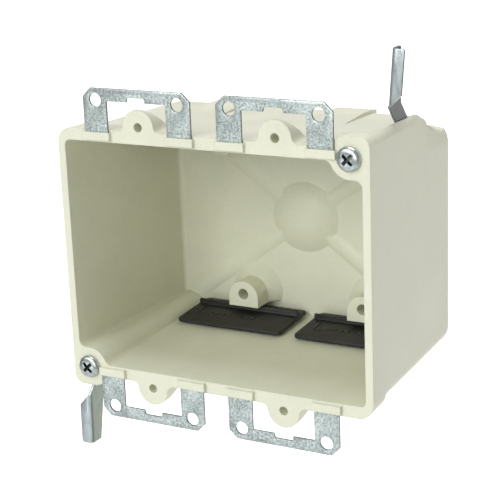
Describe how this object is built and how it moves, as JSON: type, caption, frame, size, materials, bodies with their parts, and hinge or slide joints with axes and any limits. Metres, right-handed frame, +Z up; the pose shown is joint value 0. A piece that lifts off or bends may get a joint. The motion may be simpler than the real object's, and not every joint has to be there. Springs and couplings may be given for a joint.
{
  "type": "electrical switch box",
  "caption": "Moulded box for wiring devices in an existing wall, with sheet-metal ears, screw-drawn swinging wings and sprung cable clamps at its back wall.",
  "frame": {"origin": "middle of the device-screw pattern, on the front face of the rim", "axes": "+X to the right seen from the front, +Y into the wall, +Z up"},
  "size_m": [0.1082, 0.0686, 0.1315],
  "materials": {
    "ivory_plastic": "ivory glass-filled moulding, softly mottled",
    "galvanised_sheet": "galvanised sheet with a fine spangle",
    "zinc_screw": "bright zinc plate",
    "zinc_wing": "dull zinc plate on sheet steel",
    "black_plastic": "black moulding, satin"
  },
  "bodies": {
    "box": {"box_body": "ivory_plastic", "ear_top_left": "galvanised_sheet", "ear_top_right": "galvanised_sheet", "ear_bottom_left": "galvanised_sheet", "ear_bottom_right": "galvanised_sheet"},
    "screw_top": {"clamp_screw_top": "zinc_screw"},
    "screw_bottom": {"clamp_screw_bottom": "zinc_screw"},
    "wing_top": {"clamp_wing_top": "zinc_wing"},
    "wing_bottom": {"clamp_wing_bottom": "zinc_wing"},
    "clamp_bottom_left": {"cable_clamp_bottom_left": "black_plastic"},
    "clamp_bottom_right": {"cable_clamp_bottom_right": "black_plastic"},
    "clamp_top_left": {"cable_clamp_top_left": "black_plastic"},
    "clamp_top_right": {"cable_clamp_top_right": "black_plastic"}
  },
  "joints": [
    {"name": "screw_turn_top", "type": "hinge", "parent": "box", "child": "screw_top", "pos_m": [0.0463, 0, 0.0374], "axis": [0, 1, 0], "range_deg": [-74.8, 0.5]},
    {"name": "wing_draw_top", "type": "slide", "parent": "screw_top", "child": "wing_top", "axis": [0, -1, 0], "range_m": [-0.0172, 0.0175]},
    {"name": "screw_turn_bottom", "type": "hinge", "parent": "box", "child": "screw_bottom", "pos_m": [-0.0463, 0, -0.0374], "axis": [0, 1, 0], "range_deg": [-71, 4.3]},
    {"name": "wing_draw_bottom", "type": "slide", "parent": "screw_bottom", "child": "wing_bottom", "axis": [0, -1, 0], "range_m": [-0.0338, 0.0008]},
    {"name": "clamp_lift_bottom_left", "type": "hinge", "parent": "box", "child": "clamp_bottom_left", "pos_m": [-0.019, 0.0563, -0.03135], "axis": [-1, 0, 0], "range_deg": [0, 9], "stiffness_Nm_per_rad": 0.05, "springref_deg": -1.15},
    {"name": "clamp_lift_bottom_right", "type": "hinge", "parent": "box", "child": "clamp_bottom_right", "pos_m": [0.0252, 0.0563, -0.03135], "axis": [-1, 0, 0], "range_deg": [0, 9], "stiffness_Nm_per_rad": 0.05, "springref_deg": -1.15},
    {"name": "clamp_lift_top_left", "type": "hinge", "parent": "box", "child": "clamp_top_left", "pos_m": [-0.0252, 0.0563, 0.03135], "axis": [1, 0, 0], "range_deg": [0, 9], "stiffness_Nm_per_rad": 0.05, "springref_deg": -1.15},
    {"name": "clamp_lift_top_right", "type": "hinge", "parent": "box", "child": "clamp_top_right", "pos_m": [0.019, 0.0563, 0.03135], "axis": [1, 0, 0], "range_deg": [0, 9], "stiffness_Nm_per_rad": 0.05, "springref_deg": -1.15}
  ]
}
